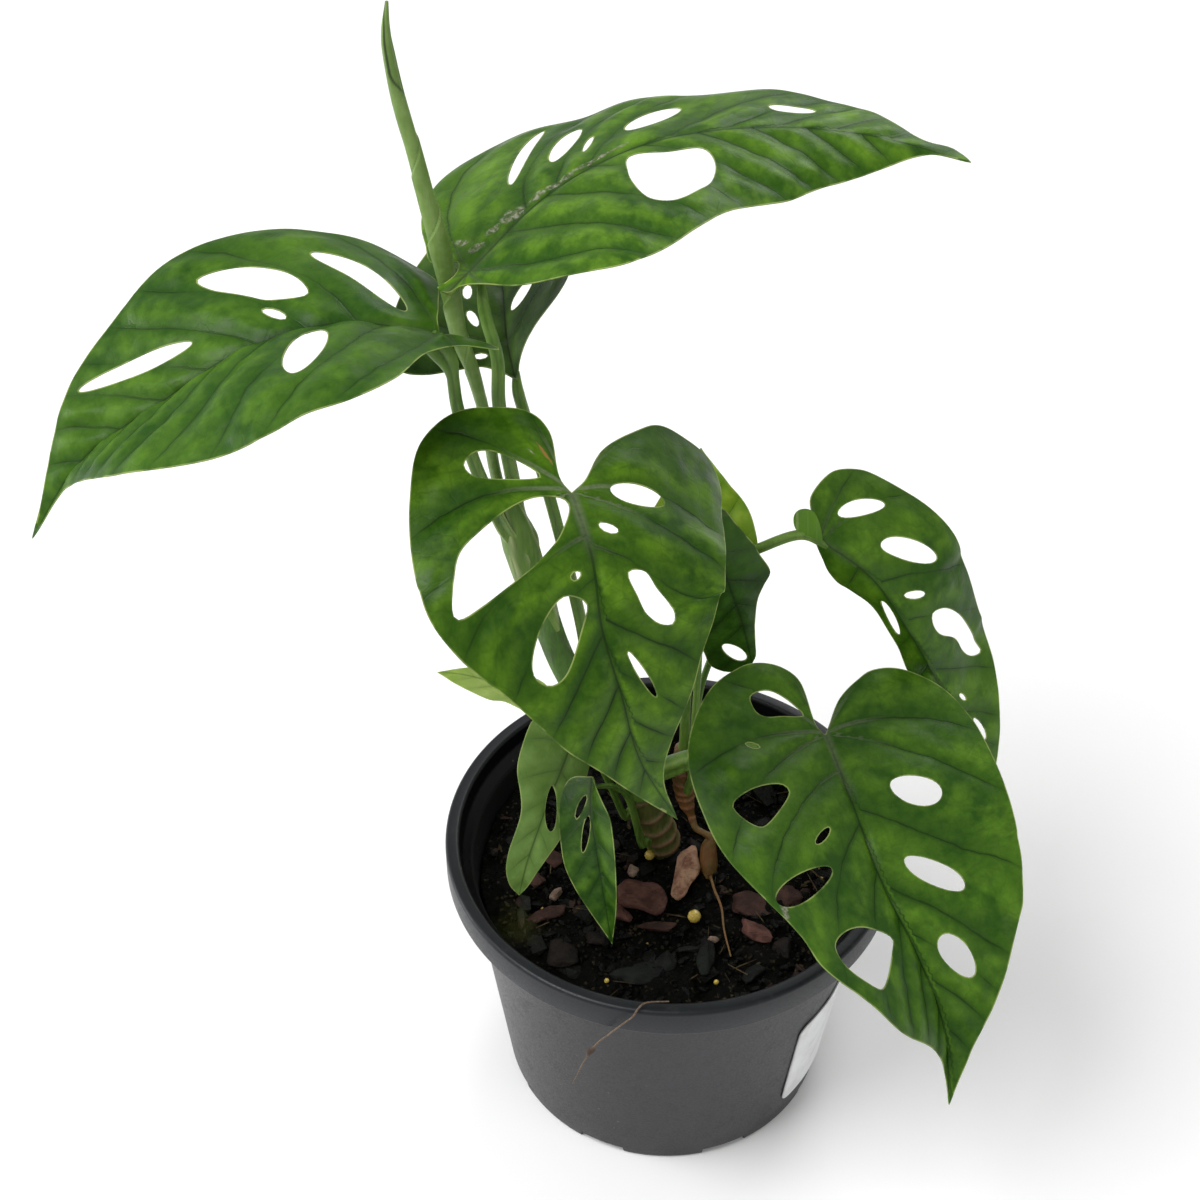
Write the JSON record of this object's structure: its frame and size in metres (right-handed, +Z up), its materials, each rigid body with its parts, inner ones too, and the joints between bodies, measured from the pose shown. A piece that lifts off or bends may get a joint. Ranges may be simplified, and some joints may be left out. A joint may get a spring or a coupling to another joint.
{
  "type": "potted plant",
  "caption": "Climbing plant with glossy hole-pierced oval leaves on slender stalks, in a round tapered plastic nursery pot filled with soil.",
  "frame": {"origin": "middle of the pot's underside, on the plane it stands on, on the pot's axis", "axes": "+Z up along the pot's axis; -Y towards the side seen in the picture; +X to its right"},
  "size_m": [0.2698, 0.1733, 0.373],
  "materials": {
    "pot": "dark grey moulded plastic, satin",
    "soil": null,
    "label": "blank white sticker, semi-gloss",
    "stem_green": "green-brown living stem, waxy",
    "stem_brown": "brown ringed stem, satin",
    "leaf_green": "living leaf, waxy satin sheen",
    "leaf_dark": "older darker leaf, waxy satin sheen",
    "leaf_pale": "young yellow-green leaf, soft sheen",
    "leaf_grey": "underside of a leaf, grey-green, matt",
    "leaf_new": "rolled new leaf, light green, soft sheen",
    "dry_stalk": "dry leaf stalk, matt",
    "bark": "wet bark chip, matt",
    "bead": "coated plant food bead, glossy"
  },
  "bodies": {
    "root": {"pot": "pot", "soil": "soil", "label": "label", "main_stem": "stem_green", "side_stem": "stem_brown", "leaf_top_right": "leaf_green", "leaf_top_left": "leaf_green", "leaf_top_back": "leaf_dark", "leaf_heart_front": "leaf_dark", "leaf_heart_right": "leaf_green", "leaf_right_back": "leaf_green", "leaf_folded": "leaf_dark", "leaf_pale": "leaf_pale", "leaf_small_left": "leaf_pale", "leaf_low_left": "leaf_grey", "leaf_low_narrow": "leaf_green", "leaf_rolled": "leaf_new", "dry_stalk": "dry_stalk", "bark_chip_1": "bark", "bark_chip_2": "bark", "bark_chip_3": "bark", "bark_chip_4": "bark", "feed_bead_1": "bead", "feed_bead_2": "bead", "feed_bead_3": "bead", "feed_bead_4": "bead"}
  },
  "joints": []
}
